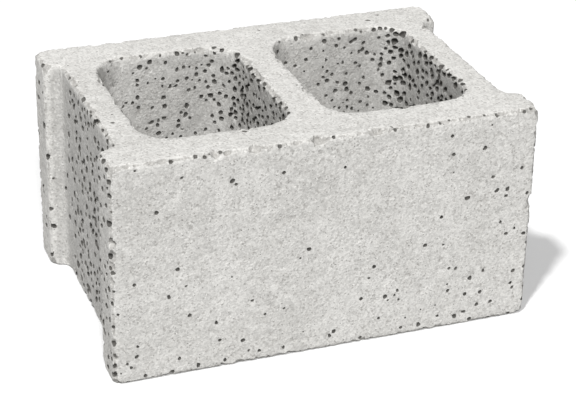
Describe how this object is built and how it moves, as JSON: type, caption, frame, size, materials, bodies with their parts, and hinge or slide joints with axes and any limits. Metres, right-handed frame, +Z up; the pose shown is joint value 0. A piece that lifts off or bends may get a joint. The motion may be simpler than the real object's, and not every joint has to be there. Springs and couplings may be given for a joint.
{
  "type": "hollow concrete block",
  "caption": "Hollow concrete masonry block with tapered, round-cornered cores that go right through, and a shallow recess between flanges at each end.",
  "frame": {"origin": "centre of the lower bed, which the block rests on as laid", "axes": "+X along the block's length, +Y through the wall's thickness towards the back face, +Z up to the upper bed"},
  "size_m": [0.375, 0.25, 0.2],
  "materials": {
    "concrete": "rough open-textured cast concrete, pale grey"
  },
  "bodies": {
    "root": {"concrete_block": "concrete"}
  },
  "joints": []
}
